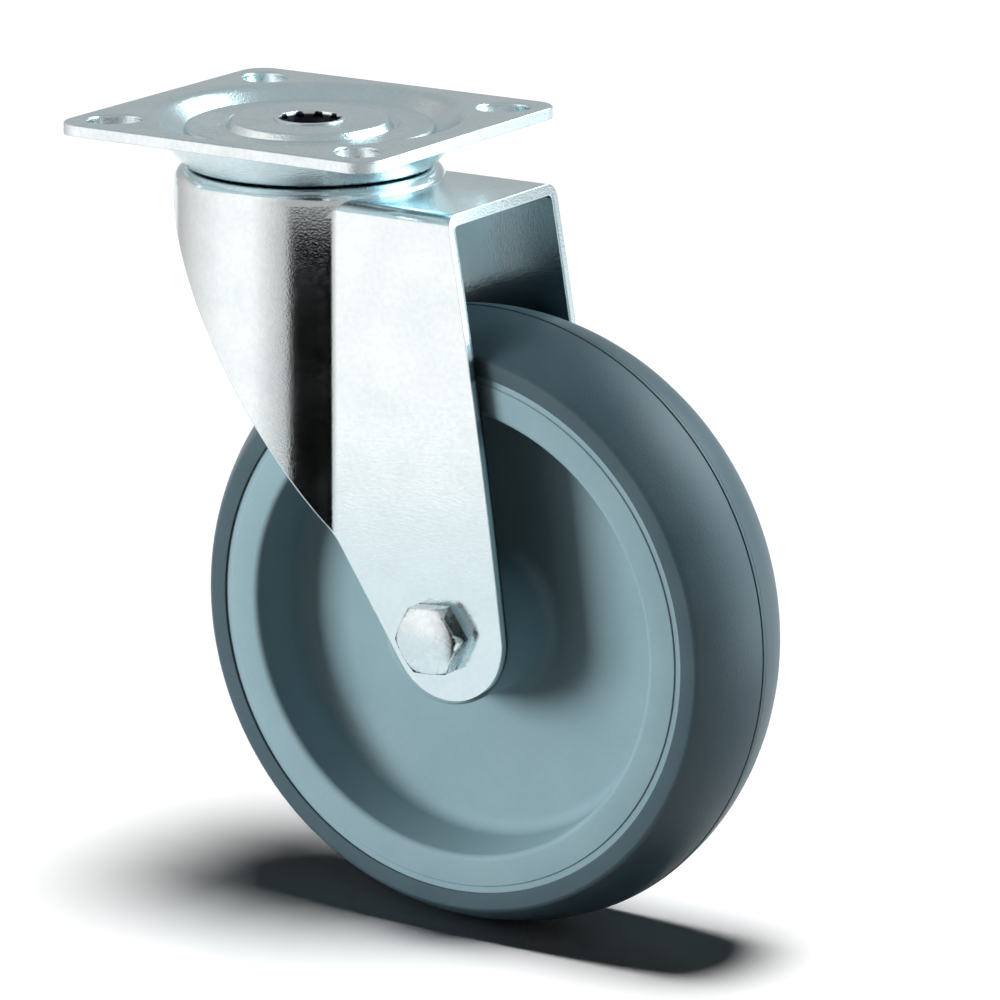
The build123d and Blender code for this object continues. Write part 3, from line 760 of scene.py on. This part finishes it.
# %% [markdown]
# ## What the zinc mirrors
# A shiny thing has no look of its own: it shows the room. So two curved screens stand on the floor,
# and only reflections see them. A lamp would do for a plain highlight, but a screen can have any
# outline and can fade. Each is an upright line, spun part of a turn round the swivel's axis.

# %% Screens
STANDING = solid_low.z + 1 * MM
BLACK = colour(0.0, 0.0, 0.0)


def screen(name, radius, first, last, high, steps):
    """An upright arc round the swivel's axis, between two compass directions in degrees."""
    mesh = bmesh.new()
    start = Vector((math.cos(math.radians(first)), math.sin(math.radians(first)), 0)) * radius
    foot = mesh.verts.new(start + Vector((0, 0, STANDING)))
    head = mesh.verts.new(start + Vector((0, 0, high)))
    bmesh.ops.spin(
        mesh, geom=[foot, head, mesh.edges.new((foot, head))], cent=(0, 0, 0), axis=(0, 0, 1),
        angle=math.radians(last - first), steps=steps, use_merge=False, use_duplicate=False,
    )
    panel = placed(name, mesh_data(name, mesh))
    panel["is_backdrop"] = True
    panel.visible_camera = False
    panel.visible_diffuse = False
    panel.visible_shadow = False
    panel.visible_transmission = False
    return panel


# %% [markdown]
# ## The glowing paper
# The far screen is a sweep of paper, brightest in the middle and fading to both sides. It makes the
# white of the near leg and the soft gradients on the castor's head. Its glow is a colour that follows
# the bearing from the swivel's axis: dim towards -X, full towards -Y, and dim again towards the wheel.

# %% Paper arc
PAPER_GLOW = 1.52
PAPER_WARMTH = colour(1.0, 0.88, 0.85)
DIM_LEFT, DIM_RIGHT = 0.62 / PAPER_GLOW, 0.42
RISE = (math.radians(-110), math.radians(-42))
FALL = (math.radians(-14), math.radians(16))


def paper_share(recipe):
    """How much of its full glow the paper has, by a bearing that is 0 at -Y and grows towards +X."""
    across, along, _ = place_of(recipe)
    bearing = maths(recipe, "ARCTAN2", across, 0 - along)
    rise = stretched(recipe, bearing, *RISE, DIM_LEFT, 1.0)
    return rise * stretched(recipe, bearing, *FALL, 1.0, DIM_RIGHT)


glowing_paper = Recipe("glowing_paper")
paper_arc = screen("paper_arc", radius=0.33, first=-202, last=-20, high=0.26, steps=60)
paper_arc.data.materials.append(
    glowing_paper.finish(
        base_color=BLACK,
        roughness=1.0,
        specular_ior_level=0.0,
        emission_color=mixed(glowing_paper, paper_share(glowing_paper), BLACK, PAPER_WARMTH),
        emission_strength=PAPER_GLOW,
    )
)

# %% [markdown]
# ## The black card
# The streak beside the leg is a reflection of something dark. Photographers stand a strip of black
# card near a shiny thing to draw such a line on it. This one is near, narrow and low: near makes its
# edges crisp, and low keeps it out of the plate's reflections.

# %% Black card
black_felt = Recipe("black_felt")
black_card = screen("black_card", radius=0.125, first=-71.5, last=-39, high=-0.036, steps=16)
black_card.data.materials.append(
    black_felt.finish(base_color=BLACK, roughness=1.0, specular_ior_level=0.0)
)

# %% [markdown]
# ## Camera
# The photograph was taken from the front right, a little above, with a long lens. The camera's place
# and turn were worked out from the castor's own corners. They are written as the camera's three
# axes, which can be read against the frame's, rather than as angles, which can't.

# %% Camera
camera_data = bpy.data.cameras.new("camera")
camera_data.lens = 211.57
camera_data.sensor_width = 36.0
camera_data.clip_end = 60.0
camera = placed("camera", camera_data)
right = Vector((0.84363, 0.536922, 0.001568))
upward = Vector((-0.141084, 0.218857, 0.965503))
backward = Vector((0.518057, -0.814749, 0.260386))
turn = Matrix((right, upward, backward)).transposed().to_4x4()
camera.matrix_world = Matrix.Translation((0.642433, -0.940261, 0.227998)) @ turn
bpy.context.scene.camera = camera
bpy.context.scene.view_settings.view_transform = "Standard"
print(f"camera: {camera_data.lens:.0f} mm lens at {tuple(camera.matrix_world.translation)}")

# %% [markdown]
# ## Check the size
# The dressed castor must be no bigger than the engineering model, so the largest growth of its box
# past the solids' box is printed.

# %% Finish
seen_low, seen_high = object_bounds()
growth = max(max(solid_low - seen_low), max(seen_high - solid_high))
print(f"largest growth past the solids: {growth / MM:.3f} mm")
